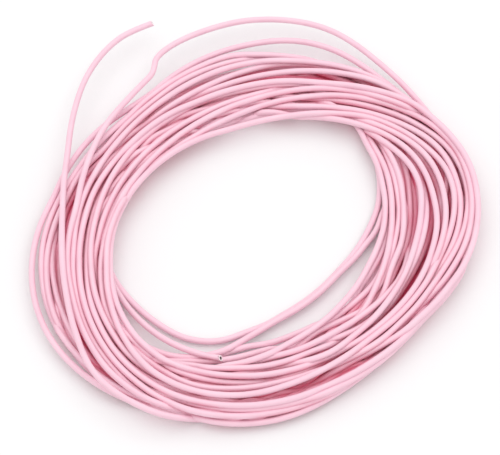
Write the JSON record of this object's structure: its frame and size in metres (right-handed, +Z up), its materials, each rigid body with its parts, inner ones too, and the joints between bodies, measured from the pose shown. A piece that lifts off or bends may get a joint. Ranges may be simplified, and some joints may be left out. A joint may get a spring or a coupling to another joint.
{
  "type": "hook-up wire coil",
  "caption": "Loose hand-wound oval coil of thin pink PVC-insulated stranded hook-up wire with two bare-cut ends and a few sprung-out turns.",
  "frame": {"origin": "centre of the footprint's bounding box, on the surface the coil lies on", "axes": "+Z up out of the lying coil, +Y towards the side where the kinked turn springs out, +X to the right of that with the outer cut end on the left"},
  "size_m": [0.0904, 0.0946, 0.007],
  "materials": {
    "bundle_pvc": "smooth satin extruded PVC, packed turns",
    "pink_pvc": "smooth satin extruded PVC",
    "copper": "bare drawn copper, slightly tarnished at the cut"
  },
  "bodies": {
    "root": {"coil_bundle": "bundle_pvc", "kinked_outer_turn": "pink_pvc", "second_outer_turn": "pink_pvc", "left_outer_turn": "pink_pvc", "inner_loose_turn": "pink_pvc", "inner_second_turn": "pink_pvc", "outer_tail": "pink_pvc", "outer_end_jacket": "pink_pvc", "inner_tail": "pink_pvc", "inner_end_jacket": "pink_pvc", "outer_strand_1": "copper", "outer_strand_2": "copper", "outer_strand_3": "copper", "outer_strand_4": "copper", "outer_strand_5": "copper", "outer_strand_6": "copper", "outer_strand_7": "copper", "inner_strand_1": "copper", "inner_strand_2": "copper", "inner_strand_3": "copper", "inner_strand_4": "copper", "inner_strand_5": "copper", "inner_strand_6": "copper", "inner_strand_7": "copper"}
  },
  "joints": []
}
